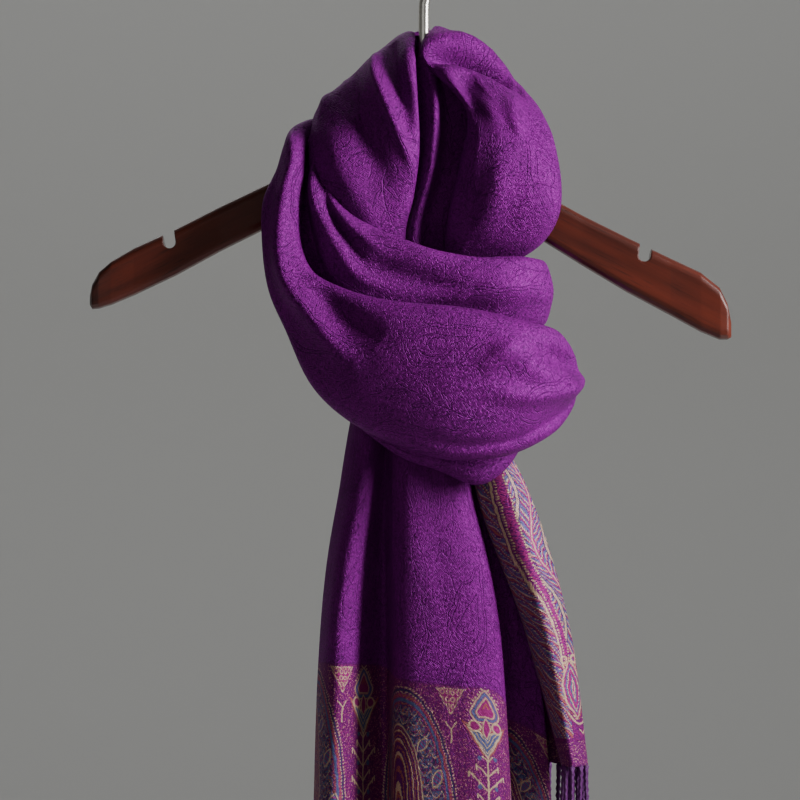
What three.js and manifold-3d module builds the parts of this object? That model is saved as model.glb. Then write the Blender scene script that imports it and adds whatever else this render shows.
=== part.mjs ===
// A woven shawl-scarf knotted round the neck of a wooden coat hanger. The neck loop goes behind the hook and
// over both shoulders. Two wraps cross in front of it, and two fringed tails hang out of the knot.
// Millimetres, +Z up, the front faces -Y. The origin is the inside top of the hook, where a rail carries it.

import * as THREE from "three";
import { mergeVertices } from "three/addons/utils/BufferGeometryUtils.js";
import Module from "manifold-3d";

const wasm = await Module();
wasm.setup();

// Driving dimensions
const clothWall = 1.6;
const seamGap = 0.45;
const thinCrown = 5;
const fullCrown = 12;
const thinTurn = 1.25;
const fringeLength = 65;
const fringeStrip = 4;
const strandSpacing = 10;
const strandWidth = 3.6;
const woodRoundOver = 6;
const woodCornerSteps = 3;
const notchWidth = 8;
const notchDepth = 11;
const rodRadius = 3.5;
const crookInnerRadius = 21;
const shankEndZ = -156;
const shankClearance = 0.5;

// Colours
const purple = { color: 0x5c1a7a, roughness: 0.55, metalness: 0 };
const patterned = { color: 0x7a3f6e, roughness: 0.6, metalness: 0 };
const rosewood = { color: 0x5a1f18, roughness: 0.25, metalness: 0 };
const nickel = { color: 0xd9d5cc, roughness: 0.25, metalness: 1 };

// Tables: a list of column names and a list of rows make a list of named records
function table(columns, rows) {
  return rows.map((row) => Object.fromEntries(columns.map((name, i) => [name, row[i]])));
}

// Smooth value of one column at a place from 0 to 1 along the rows
function along(rows, column, place) {
  const last = rows.length - 1;
  const index = Math.min(Math.max(place, 0), 1) * last;
  const i = Math.min(Math.floor(index), last - 1);
  const f = index - i;
  const value = (k) => rows[Math.min(Math.max(k, 0), last)][column];
  const [p, q, r, w] = [value(i - 1), value(i), value(i + 1), value(i + 2)];
  return q + 0.5 * f * (r - p + f * (2 * p - 5 * q + 4 * r - w + f * (3 * (q - r) + w - p)));
}

const bandColumns = ["ax", "ay", "az", "bx", "by", "bz", "crown"];
const foldColumns = ["fromS", "fromT", "viaS", "viaT", "toS", "toT", "height", "breadth"];

// The neck loop: up the front left, over the left shoulder, behind the hook, and down the front right.
// a is its edge beside the hook and b its outer edge
const neckLoop = {
  turn: 1.95,
  flat: 0.8,
  rows: table(bandColumns, [
    [-12, 0, -300, -40, 1, -300, 3],
    [-12, -5, -264, -36, -4, -263, 4],
    [-12, -12, -228, -27, -11, -226, 4],
    [-12, -18, -208, -36, -18, -211, 8],
    [-7, -22, -188, -49, -22, -195, 11],
    [-3, -24, -158, -62, -22, -178, 13],
    [-4, -21, -124, -73, -18, -158, 12],
    [-6, -13, -97, -75, -12, -142, 9],
    [-6, 5, -80, -75, 4, -134, 7],
    [-8, 20, -79, -60, 28, -146, 10],
    [0, 25, -76, 0, 38, -152, 12],
    [8, 20, -77, 60, 28, -144, 10],
    [6, 5, -76, 72, 4, -128, 7],
    [10, -13, -99, 82, -11, -149, 12],
    [27, -17, -132, 88, -15, -177, 20],
    [24, -18, -165, 88, -16, -199, 22],
    [17, -16, -197, 79, -14, -216, 18],
    [14, -12, -219, 62, -7, -228, 12],
    [14, -4, -238, 46, -2, -242, 6],
    [10, 0, -270, 40, 2, -272, 5],
    [6, 3, -302, 34, 5, -302, 3],
  ]),
  folds: table(foldColumns, [
    [0.372, 0.36, 0.324, 0.32, 0.228, 0.04, 7, 5],
    [0.404, 0.16, 0.34, 0.17, 0.26, 0.1, -6, 6],
    [0.404, 0.62, 0.324, 0.56, 0.228, 0.4, -3, 10],
    [0.292, 0.86, 0.236, 0.7, 0.156, 0.5, 4, 8],
    [0.42, 0.85, 0.388, 0.85, 0.34, 0.86, 3, 5],
    [0.436, 0.5, 0.5, 0.46, 0.564, 0.5, 4, 7],
    [0.436, 0.76, 0.5, 0.72, 0.564, 0.76, 4, 7],
    [0.452, 0.28, 0.5, 0.3, 0.548, 0.28, -4, 6],
    [0.612, 0.04, 0.648, 0.3, 0.676, 0.66, -5, 5],
    [0.628, 0.02, 0.668, 0.26, 0.692, 0.56, 4, 6],
    [0.596, 0.22, 0.644, 0.7, 0.692, 0.96, 3, 7],
  ]),
};

// The pleat that shows in the hollow between the two sides of the loop
const innerPleat = {
  turn: 1.9,
  flat: 0.8,
  rows: table(bandColumns, [
    [-5, -7, -96, 6, -7, -96, 1],
    [-6, -8, -113, 22, -7, -113, 1],
    [-8, -11, -135, 33, -10, -135, 1],
    [-10, -12, -170, 34, -10, -170, 1],
    [-19, -8, -205, 28, -8, -205, 2],
    [-20, -2, -232, 24, -2, -232, 2],
  ]),
  folds: table(foldColumns, [
    [-0.1, 0.24, 0.5, 0.26, 1.1, 0.2, 8, 5],
  ]),
};

// The upper wrap: out of the left shoulder, across the front and round the right side to the back.
// a is its lower edge and b its upper edge
const upperWrap = {
  turn: 2.0,
  flat: 0.75,
  rows: table(bandColumns, [
    [-78, 6, -154, -73, 6, -150, 2],
    [-78, -7, -167.5, -75, -13, -163, 3],
    [-78, -10.3, -190, -62, -23, -186, 7],
    [-78, -13, -215, -47, -27, -203, 9],
    [-66, -18, -243, -27, -27, -213, 11],
    [-49, -22, -260, -9, -29, -219, 12],
    [-16, -24, -269, 10, -29, -225, 12],
    [16, -25, -270, 35, -26, -229, 13],
    [49, -18, -273, 59, -20, -229, 13],
    [73, -2, -274, 75, -3, -231, 9],
    [68, 19, -271, 66, 17, -229, 8],
    [30, 27, -267, 30, 27, -227, 8],
    [-20, 24, -262, -20, 24, -224, 7],
    [-52, 7, -252, -50, 9, -218, 5],
  ]),
  folds: table(foldColumns, [
    [0.02, 0.45, 0.22, 0.25, 0.36, 0.3, 7, 5],
    [0.06, 0.7, 0.17, 0.62, 0.26, 0.72, -5, 4],
    [0.1, 0.86, 0.18, 0.84, 0.25, 0.9, 4, 4],
    [0.3, 0.62, 0.4, 0.55, 0.5, 0.5, -3, 8],
    [0.46, 0.2, 0.53, 0.14, 0.6, 0.22, -6, 7],
    [0.55, 0.6, 0.64, 0.5, 0.72, 0.55, 3, 9],
    [0.76, 0.6, 0.86, 0.5, 0.98, 0.55, 3, 8],
  ]),
};

// The lower wrap, the broadest stretch: down the left side, across the front, and round to the back
const lowerWrap = {
  turn: 2.0,
  flat: 0.72,
  rows: table(bandColumns, [
    [-50, 14, -146, -46, 15, -135, 3],
    [-68, 13, -160, -63, 14, -151, 3],
    [-87, 8, -153, -81, 9, -144, 5],
    [-97, -14, -167, -83, -14, -163, 9],
    [-104, -18, -192, -82, -21, -190, 12],
    [-104, -20, -218, -80, -26, -217, 14],
    [-99, -22, -250, -72, -31, -238, 16],
    [-87, -25, -277, -53, -38, -249, 18],
    [-71, -29, -311, -30, -44, -256, 22],
    [-49, -33, -333, -8, -46, -259, 27],
    [-19, -36, -349, 17, -46, -261, 30],
    [14, -38, -359, 41, -44, -265, 31],
    [49, -35, -357, 63, -36, -271, 27],
    [79, -24, -343, 81, -20, -277, 17],
    [93, -4, -324, 90, 0, -290, 10.5],
    [84, 18, -330, 80, 18, -284, 10],
    [50, 32, -336, 48, 32, -280, 10],
    [0, 36, -332, 0, 36, -274, 10],
    [-46, 27, -318, -44, 27, -262, 9],
    [-72, 4, -292, -64, 4, -250, 6],
  ]),
  folds: table(foldColumns, [
    [0.109, 0.6, 0.318, 0.62, 0.451, 0.42, 8, 7],
    [0.242, 0.16, 0.337, 0.14, 0.451, 0.16, -3, 8],
    [0.337, 0.84, 0.394, 0.74, 0.469, 0.68, -5, 9],
    [0.583, 0.9, 0.621, 0.72, 0.716, 0.44, 5, 10],
    [0.64, 0.86, 0.678, 0.78, 0.725, 0.72, -5, 7],
    [0.545, 0.12, 0.602, 0.09, 0.678, 0.16, -4, 4],
    [0.621, 0.36, 0.697, 0.3, 0.773, 0.34, -3, 8],
    [0.754, 0.62, 0.848, 0.55, 0.962, 0.6, 4, 9],
    [0.754, 0.26, 0.848, 0.3, 0.962, 0.26, 3, 8],
  ]),
};

// The narrow turn of cloth that shows under the lower wrap, where the tails come out
const underTurn = {
  turn: 1.9,
  flat: 0.85,
  rows: table(bandColumns, [
    [-39.6, -20, -342, -39.6, -20, -328, 3],
    [-15.6, -24, -359, -15.6, -24, -340, 5],
    [9.4, -25, -368, 10.4, -25, -348, 6],
    [33.4, -24, -377, 34.4, -25, -354, 8],
    [49.4, -19, -370, 49.4, -19, -349, 7],
    [59.4, -6, -356, 59.4, -6, -340, 5],
    [56.4, 7, -349, 56.4, 7, -337, 3],
  ]),
  folds: table(foldColumns, [
    [0.3, 0.7, 0.5, 0.5, 0.7, 0.6, -2, 3],
  ]),
};

// The wood from its left end to its right, as it hangs: a little askew, with its ends curving forward
const woodStations = table(["x", "y", "top", "bottom", "thick"], [
  [-219, -14, -253, -260, 5],
  [-217.5, -14, -246, -262.5, 11],
  [-213, -13, -238, -262, 15],
  [-205, -12, -231, -259.5, 16],
  [-190, -9, -222, -253, 16],
  [-163, -6, -209.5, -240, 16],
  [-134, -3, -194.5, -224, 16],
  [-104, -1, -180, -209, 16],
  [-75, 0, -166, -194, 16],
  [-50, 0, -154, -184, 16],
  [-25, 0, -142, -177, 16],
  [-10, 0, -135.5, -173, 16],
  [0, 0, -134, -172, 16],
  [10, 0, -136, -173, 16],
  [25, 0, -146, -180, 16],
  [50, 0, -167, -197, 16],
  [75, 0, -184, -215, 16],
  [104, 0, -200, -233, 16],
  [134, -1, -215, -251, 16],
  [162, -2, -228.5, -266, 16],
  [182, -4, -238, -277, 16],
  [194.5, -5, -248, -282.3, 15],
  [199.5, -6, -258, -282.3, 12],
  [202, -6, -270, -281, 5],
]);
const woodNotches = table(["x", "top", "lean"], [
  [-167, -211.5, -0.15],
  [145, -220, 0.15],
]);

const tailColumns = ["x0", "y0", "x1", "y1", "x2", "y2", "x3", "y3", "drop"];

// The front tail. Each row is one ridge or trough of its cross-section, at the four heights in tops,
// and drop is how much lower the hem hangs there
const frontTail = {
  tops: [-302.9, -374, -480, -744],
  rows: table(tailColumns, [
    [-14, 8, -20, 10, -34, 16, -40, 20, -4],
    [-34, 8, -48, 10, -62, 14, -71, 16, -2],
    [-42, 0, -54, 0, -68, -1, -77, -1, 0],
    [-34, -12, -40, -15, -55, -22, -62, -27, 0],
    [-22, -2, -24, 2, -21, 6, -19, 8, 4],
    [-10, -13, -8, -17, 5, -26, 4, -30, 10],
    [4, -10, 13, -12, 24, -20, 30, -22, 14],
    [15, -13, 24, -16, 43, -25, 54, -28, 17],
    [22, -6, 30, -6, 51, -12, 65, -14, 29],
    [12, 0, 18, 1, 38, -1, 51, -5, 31],
    [24, 3, 36, 4, 63, 5, 80, 7, 44],
    [28, 9, 42, 11, 70, 12, 87, 13, 51],
    [16, 11, 28, 15, 54, 18, 68, 19, 54],
  ]),
};

// The side tail: its right-hand roll shows beside the front tail, and its other pleats hang behind
const sideTail = {
  tops: [-316, -385, -470, -562],
  rows: table(tailColumns, [
    [29.4, -5, 36.4, -4, 62.4, -4, 84.4, -3, 2],
    [29.4, -9, 37.4, -12, 64.4, -13, 86.4, -12, 0],
    [32.4, -9, 53.4, -18, 79.4, -25, 97.4, -22, 0],
    [33.4, -3, 69.4, -8, 94.4, -9, 107.4, -7, 0],
    [28.4, 1, 56.4, 0, 76.4, -1, 93.4, 1, 1],
    [32.4, 6, 68.4, 6, 93.4, 6, 106.4, 9, 2],
    [42.4, 12, 50.4, 16, 76.4, 16, 90.4, 18, 2],
    [34.4, 18, 46.4, 24, 64.4, 30, 74.4, 34, 0],
    [22.4, 16, 26.4, 19, 40.4, 25, 46.4, 26, -2],
    [10.4, 21, 10.4, 28, 18.4, 36, 22.4, 38, -4],
    [0.4, 16, -3.6, 20, -1.6, 26, 0.4, 27, -6],
    [-11.6, 21, -17.6, 27, -23.6, 35, -23.6, 38, -8],
    [-21.6, 16, -29.6, 18, -41.6, 26, -45.6, 28, -10],
    [-31.6, 14, -39.6, 17, -55.6, 24, -61.6, 26, -12],
  ]),
};

// Cloth stretches

function pointOf(rows, letter, s) {
  return new THREE.Vector3(...["x", "y", "z"].map((axis) => along(rows, letter + axis, s)));
}

// Points along a fold, in the band's own s and t, for measuring how near a place is to it
function foldTrack(fold, steps = 16) {
  return Array.from({ length: steps + 1 }, (_, k) => {
    const q = k / steps;
    const bend = (from, via, to) => (1 - q) ** 2 * from + 2 * q * (1 - q) * via + q * q * to;
    return {
      q,
      s: bend(fold.fromS, fold.viaS, fold.toS),
      t: bend(fold.fromT, fold.viaT, fold.toT),
    };
  });
}

// A fold's height at a place on the band: full on its line, gone two breadths away, and tapered at its ends
function foldHeight(fold, track, s, t, length, width) {
  let nearest = Infinity;
  let q = 0;
  for (const step of track) {
    const distance = Math.hypot((s - step.s) * length, (t - step.t) * width);
    if (distance < nearest) [nearest, q] = [distance, step.q];
  }
  const taper = Math.sin(Math.PI * Math.min(Math.max(q, 0.02), 0.98)) ** 0.6;
  return fold.height * taper * Math.exp(-((nearest / fold.breadth) ** 2));
}

// How far round its section a band's edge turns, in radians: a full band's edge turns under, a thin one's doesn't
function edgeTurn(band, crown) {
  const fullness = Math.min(Math.max((crown - thinCrown) / (fullCrown - thinCrown), 0), 1);
  return thinTurn + (band.turn - thinTurn) * fullness;
}

// The middle surface of a band: between its two edges it rises to its crown
function bandGrid(band, stepsAlong, stepsAcross) {
  const middle = (s) => pointOf(band.rows, "a", s).add(pointOf(band.rows, "b", s)).multiplyScalar(0.5);
  const beads = Array.from({ length: 41 }, (_, k) => middle(k / 40));
  const length = beads.slice(1).reduce((sum, bead, k) => sum + bead.distanceTo(beads[k]), 0);
  const tracks = band.folds.map((fold) => foldTrack(fold));
  const rise = (angle) => {
    const facing = Math.cos(angle);
    return facing > 0 ? facing ** band.flat : facing;
  };
  const step = 0.01;
  const grid = [];
  for (let i = 0; i <= stepsAlong; i++) {
    const s = i / stepsAlong;
    const a = pointOf(band.rows, "a", s);
    const across = pointOf(band.rows, "b", s).sub(a);
    const ahead = middle(Math.min(s + step, 1)).sub(middle(Math.max(s - step, 0)));
    const out = ahead.cross(across).normalize();
    const crown = along(band.rows, "crown", s);
    const turn = edgeTurn(band, crown);
    const base = rise(turn);
    const row = [];
    for (let j = 0; j <= stepsAcross; j++) {
      const angle = turn * ((2 * j) / stepsAcross - 1);
      const t = 0.5 + 0.5 * Math.sin(angle);
      const facing = Math.max(Math.cos(angle), 0);
      let height = (crown * (rise(angle) - base)) / (1 - base);
      band.folds.forEach((fold, k) => {
        height += Math.sqrt(facing) * foldHeight(fold, tracks[k], s, t, length, across.length());
      });
      row.push(a.clone().addScaledVector(across, t).addScaledVector(out, height));
    }
    grid.push(row);
  }
  return grid;
}

// One place on a tail: s goes down it and t across its pleats
function tailPoint(tail, s, t) {
  const stations = tail.tops.map((z, k) => ({
    x: along(tail.rows, "x" + k, t),
    y: along(tail.rows, "y" + k, t),
    z,
  }));
  const point = new THREE.Vector3(...["x", "y", "z"].map((axis) => along(stations, axis, s)));
  point.z -= along(tail.rows, "drop", t) * s * s;
  return point;
}

function tailGrid(tail, stepsAlong, stepsAcross) {
  return Array.from({ length: stepsAlong + 1 }, (_, i) =>
    Array.from({ length: stepsAcross + 1 }, (_, j) => tailPoint(tail, i / stepsAlong, j / stepsAcross)),
  );
}

// A wall of even thickness on both sides of a grid of points, with its rim closed
function wall(grid, thickness) {
  const rows = grid.length;
  const columns = grid[0].length;
  const count = rows * columns;
  const positions = new Float32Array(count * 6);
  const place = (i, j) => grid[Math.min(Math.max(i, 0), rows - 1)][Math.min(Math.max(j, 0), columns - 1)];
  for (let i = 0; i < rows; i++) {
    for (let j = 0; j < columns; j++) {
      const down = place(i + 1, j).clone().sub(place(i - 1, j));
      const across = place(i, j + 1).clone().sub(place(i, j - 1));
      const normal = down.cross(across).normalize().multiplyScalar(thickness / 2);
      const k = i * columns + j;
      grid[i][j].clone().add(normal).toArray(positions, k * 3);
      grid[i][j].clone().sub(normal).toArray(positions, (count + k) * 3);
    }
  }
  const faces = [];
  const quad = (a, b, c, d) => faces.push(a, b, c, a, c, d);
  for (let i = 0; i + 1 < rows; i++) {
    for (let j = 0; j + 1 < columns; j++) {
      const a = i * columns + j;
      quad(a, a + columns, a + columns + 1, a + 1);
      quad(count + a, count + a + 1, count + a + columns + 1, count + a + columns);
    }
  }
  const rim = [];
  for (let i = 0; i < rows - 1; i++) rim.push([i * columns, (i + 1) * columns]);
  for (let j = 0; j < columns - 1; j++) rim.push([(rows - 1) * columns + j, (rows - 1) * columns + j + 1]);
  for (let i = rows - 1; i > 0; i--) rim.push([(i + 1) * columns - 1, i * columns - 1]);
  for (let j = columns - 1; j > 0; j--) rim.push([j, j - 1]);
  for (const [a, b] of rim) quad(b, a, count + a, count + b);
  const geometry = new THREE.BufferGeometry();
  geometry.setAttribute("position", new THREE.BufferAttribute(positions, 3));
  geometry.setIndex(faces);
  return geometry;
}

// Solids for joining and cutting

function solid(geometry) {
  const bare = geometry.index ? geometry.toNonIndexed() : geometry.clone();
  bare.deleteAttribute("normal");
  bare.deleteAttribute("uv");
  const merged = mergeVertices(bare, 1e-3);
  const vertProperties = merged.attributes.position.array;
  const triVerts = new Uint32Array(merged.index.array);
  return new wasm.Manifold(new wasm.Mesh({ numProp: 3, vertProperties, triVerts }));
}

function geometryOf(manifold) {
  const made = manifold.getMesh();
  const geometry = new THREE.BufferGeometry();
  geometry.setAttribute("position", new THREE.BufferAttribute(new Float32Array(made.vertProperties), 3));
  geometry.setIndex(Array.from(made.triVerts));
  return geometry;
}

// A tail's fringe: a narrow strip just under its hem, and strands that hang from the strip
function fringe(tail, stepsAcross) {
  const hem = Array.from({ length: stepsAcross + 1 }, (_, j) => tailPoint(tail, 1, j / stepsAcross));
  const lowered = (drop) => hem.map((point) => point.clone().setZ(point.z - drop));
  const strip = wall([lowered(seamGap), lowered(seamGap + fringeStrip)], clothWall);
  const hemLength = hem.slice(1).reduce((sum, point, j) => sum + point.distanceTo(hem[j]), 0);
  const strands = Math.floor(hemLength / strandSpacing);
  let joined = solid(strip);
  for (let k = 0; k < strands; k++) {
    const root = tailPoint(tail, 1, (k + 0.5) / strands);
    const length = fringeLength - fringeStrip + 3 * Math.sin(k * 2.4);
    const strand = new THREE.CylinderGeometry(strandWidth / 2, strandWidth * 0.2, length, 3, 1);
    strand.translate(0, -length / 2, 0);
    strand.rotateX(Math.PI / 2);
    strand.rotateY(0.05 * Math.sin(k * 1.7));
    strand.translate(root.x, root.y, root.z - seamGap - fringeStrip / 2);
    joined = joined.add(solid(strand));
  }
  return geometryOf(joined);
}

// The hanger's wooden shoulders: rounded sections from one end to the other, a notch cut in each arm
function woodSection(station) {
  const halfThick = station.thick / 2;
  const halfHeight = (station.top - station.bottom) / 2;
  const round = Math.min(woodRoundOver, halfThick - 0.2, halfHeight - 0.2);
  const ring = [];
  for (const [side, up] of [[1, 1], [-1, 1], [-1, -1], [1, -1]]) {
    for (let k = 0; k <= woodCornerSteps; k++) {
      const share = side * up > 0 ? k / woodCornerSteps : 1 - k / woodCornerSteps;
      const angle = (share * Math.PI) / 2;
      const y = station.y + side * (halfThick - round + round * Math.cos(angle));
      const z = (station.top + station.bottom) / 2 + up * (halfHeight - round + round * Math.sin(angle));
      ring.push(new THREE.Vector3(station.x, y, z));
    }
  }
  return ring;
}

function lofted(rings) {
  const size = rings[0].length;
  const positions = rings.flat().flatMap((point) => point.toArray());
  const faces = [];
  for (let i = 0; i + 1 < rings.length; i++) {
    for (let j = 0; j < size; j++) {
      const a = i * size + j;
      const b = i * size + ((j + 1) % size);
      faces.push(a, b, b + size, a, b + size, a + size);
    }
  }
  const last = (rings.length - 1) * size;
  for (let j = 1; j + 1 < size; j++) faces.push(0, j + 1, j, last, last + j, last + j + 1);
  const geometry = new THREE.BufferGeometry();
  geometry.setAttribute("position", new THREE.Float32BufferAttribute(positions, 3));
  geometry.setIndex(faces);
  return geometry;
}

function woodShoulders() {
  let wood = solid(lofted(woodStations.map(woodSection)));
  for (const notch of woodNotches) {
    const foot = new THREE.CylinderGeometry(notchWidth / 2, notchWidth / 2, 80, 16);
    const throat = new THREE.BoxGeometry(notchWidth, 80, notchDepth * 2);
    throat.translate(0, 0, notchDepth);
    for (const cutter of [foot, throat]) {
      cutter.rotateY(notch.lean);
      cutter.translate(notch.x, 0, notch.top - notchDepth + notchWidth / 2);
      wood = wood.subtract(solid(cutter));
    }
  }
  const boreRadius = rodRadius + shankClearance;
  const bore = new THREE.CylinderGeometry(boreRadius, boreRadius, 60, 16);
  bore.rotateX(Math.PI / 2);
  bore.translate(0, 0, shankEndZ - shankClearance + 30);
  return geometryOf(wood.subtract(solid(bore)));
}

// The hook: a straight shank, a swan-neck bend to the right, then the crook over the rail to the left
class HookLine extends THREE.Curve {
  constructor() {
    super();
    this.crookRadius = crookInnerRadius + rodRadius;
    this.centreZ = rodRadius - this.crookRadius;
    this.bend = Math.PI / 3;
    this.bendRadius = (this.crookRadius * Math.sin(Math.PI / 2 - this.bend)) / (1 - Math.cos(this.bend));
    const joinZ = this.centreZ - this.crookRadius * Math.sin(this.bend);
    this.bendZ = joinZ - this.bendRadius * Math.sin(this.bend);
    this.crookTurn = this.bend + THREE.MathUtils.degToRad(200);
    this.lengths = [this.bendZ - shankEndZ, this.bendRadius * this.bend, this.crookRadius * this.crookTurn];
  }

  getPoint(u, target = new THREE.Vector3()) {
    const total = this.lengths.reduce((sum, part) => sum + part, 0);
    let run = u * total;
    if (run <= this.lengths[0]) return target.set(0, 0, shankEndZ + run);
    run -= this.lengths[0];
    if (run <= this.lengths[1]) {
      const angle = run / this.bendRadius;
      const radius = this.bendRadius;
      return target.set(radius * (1 - Math.cos(angle)), 0, this.bendZ + radius * Math.sin(angle));
    }
    const angle = (run - this.lengths[1]) / this.crookRadius - this.bend;
    return target.set(this.crookRadius * Math.cos(angle), 0, this.centreZ + this.crookRadius * Math.sin(angle));
  }
}

function hook() {
  const section = new THREE.Shape();
  section.absarc(0, 0, rodRadius, 0, Math.PI * 2);
  return new THREE.ExtrudeGeometry(section, { steps: 36, curveSegments: 6, extrudePath: new HookLine() });
}

// The scarf and its hanger

const scarf = new THREE.Group();

function add(name, geometry, finish) {
  const mesh = new THREE.Mesh(geometry, new THREE.MeshStandardMaterial(finish));
  mesh.name = name;
  scarf.add(mesh);
}

add("hanger_shoulders", woodShoulders(), rosewood);
add("hanger_hook", hook(), nickel);
add("neck_loop", wall(bandGrid(neckLoop, 44, 12), clothWall), purple);
add("inner_pleat", wall(bandGrid(innerPleat, 7, 12), clothWall), purple);
add("upper_wrap", wall(bandGrid(upperWrap, 28, 10), clothWall), purple);
add("lower_wrap", wall(bandGrid(lowerWrap, 36, 12), clothWall), purple);
add("under_turn", wall(bandGrid(underTurn, 12, 7), clothWall), purple);
add("front_tail", wall(tailGrid(frontTail, 8, 48), clothWall), purple);
add("side_tail", wall(tailGrid(sideTail, 7, 48), clothWall), patterned);
add("front_fringe", fringe(frontTail, 48), purple);
add("side_fringe", fringe(sideTail, 48), purple);

export default scarf;
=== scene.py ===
# The dressed scarf and hanger: cloth stretches with their folds, the woven paisley border, the twisted
# fringe, the lacquered wood and the polished hook, in a pale round studio.

import bmesh
import bpy
import numpy as np
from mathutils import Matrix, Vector


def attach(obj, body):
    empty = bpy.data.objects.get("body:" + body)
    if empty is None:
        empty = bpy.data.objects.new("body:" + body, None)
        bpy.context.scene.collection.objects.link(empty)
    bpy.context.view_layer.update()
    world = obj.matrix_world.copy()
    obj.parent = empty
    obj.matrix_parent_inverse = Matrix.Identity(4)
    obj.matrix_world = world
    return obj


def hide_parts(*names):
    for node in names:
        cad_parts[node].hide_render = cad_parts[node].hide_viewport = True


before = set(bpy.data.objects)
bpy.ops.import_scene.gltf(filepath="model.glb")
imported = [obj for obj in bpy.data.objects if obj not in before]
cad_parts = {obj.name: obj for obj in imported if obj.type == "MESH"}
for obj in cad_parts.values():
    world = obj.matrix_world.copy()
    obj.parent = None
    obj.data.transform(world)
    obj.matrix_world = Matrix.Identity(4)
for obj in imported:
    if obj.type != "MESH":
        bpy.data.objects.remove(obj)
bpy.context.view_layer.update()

# Driving sizes, in millimetres
MM = 0.001
CLOTH_WALL = 1.1
# a band rolls its edges further under, the more it rises between them
THIN_CROWN = 5
FULL_CROWN = 12
THIN_TURN = 1.25
FRINGE_LENGTH = 65
STRAND_SPACING = 7.2
STRAND_RADIUS = 1.4
STRAND_TWIST = 9.5
STRAND_RINGS = 30
STRAND_SIDES = 8
# the woven border: its height, the thread grid, and the places of its motifs across one repeat
BORDER_HEIGHT = 250
FIRST_ROW_HEIGHT = 152
THREAD = 0.62
HALF_REPEAT = 62
STEM_AT = 113.4
TEARDROP_AT = 51.4
CROWN_AT = 87.4

# The studio and the camera, in metres
FLOOR_HEIGHT = -1.15
FLOOR_RADIUS = 3.6
COVE_RADIUS = 1.0
WALL_TOP = 3.6
CAMERA_DISTANCE = 2.2
VIEW_CENTRE_X = -0.0158
VIEW_CENTRE_Z = -0.322
VIEW_WIDTH = 0.528
SENSOR_WIDTH = 36

# A band's rows are ax, ay, az, bx, by, bz, crown: its two edges and how far it rises between them.
# Its folds are from_s, from_t, via_s, via_t, to_s, to_t, height, breadth.
# A tail's rows are x0, y0, x1, y1, x2, y2, x3, y3, drop, at the four heights in tops.

NECK_LOOP = {
    "turn": 1.95,
    "flat": 0.8,
    "rows": [
        [-12, 0, -300, -40, 1, -300, 3],
        [-12, -5, -264, -36, -4, -263, 4],
        [-12, -12, -228, -27, -11, -226, 4],
        [-12, -18, -208, -46, -15, -221, 8],
        [-7, -22, -188, -60, -17, -207, 11],
        [-3, -24, -158, -72, -14, -186, 13],
        [-4, -21, -124, -74, -7, -158, 12],
        [-6, -13, -97, -73, 0, -143, 9],
        [-6, 5, -80, -71, 8, -135, 7],
        [-8, 20, -79, -60, 28, -146, 10],
        [0, 25, -76, 0, 38, -152, 12],
        [8, 20, -77, 60, 28, -144, 10],
        [6, 5, -76, 72, 4, -128, 7],
        [-2, -12, -97, 82, -11, -149, 12],
        [27, -17, -132, 88, -15, -177, 20],
        [24, -18, -165, 88, -16, -199, 22],
        [17, -16, -197, 79, -14, -216, 18],
        [14, -12, -219, 62, -7, -228, 12],
        [14, -4, -238, 46, -2, -242, 6],
        [10, 0, -270, 40, 2, -272, 5],
        [6, 3, -302, 34, 5, -302, 3],
    ],
    "folds": [
        [0.395, 0.34, 0.33, 0.38, 0.22, 0.0, 6, 3.2],
        [0.41, 0.19, 0.35, 0.24, 0.265, 0.04, -9, 6.5],
        [0.404, 0.56, 0.324, 0.62, 0.216, 0.26, -6, 9],
        [0.31, 0.84, 0.25, 0.68, 0.156, 0.5, 4, 9],
        [0.42, 0.85, 0.388, 0.85, 0.34, 0.86, 3, 5],
        [0.436, 0.5, 0.5, 0.46, 0.564, 0.5, 4, 7],
        [0.436, 0.76, 0.5, 0.72, 0.564, 0.76, 4, 7],
        [0.452, 0.28, 0.5, 0.3, 0.548, 0.28, -4, 6],
        [0.672, -0.04, 0.612, 0.2, 0.622, 0.76, -16, 4.5],
        [0.64, -0.04, 0.588, 0.22, 0.59, 0.78, 6, 6],
        [0.65, 0.44, 0.668, 0.2, 0.71, 0.0, -10, 7],
        [0.7, 0.5, 0.66, 0.62, 0.64, 0.74, 4, 6],
        [0.7, 0.3, 0.77, 0.42, 0.83, 0.4, 3, 10],
    ],
}

INNER_PLEAT = {
    "turn": 1.9,
    "flat": 0.8,
    "rows": [
        [-5, -7, -96, 10, -4, -96, 1],
        [-6, -8, -113, 24, -2, -113, 1],
        [-8, -11, -135, 33, -3, -135, 1],
        [-10, -12, -170, 34, -9, -170, 1],
        [-19, -8, -205, 28, -8, -205, 2],
        [-20, -2, -232, 24, -2, -232, 2],
    ],
    "folds": [
        [0, 0.32, 0.5, 0.32, 1.1, 0.24, 13, 5.5],
    ],
}

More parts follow.
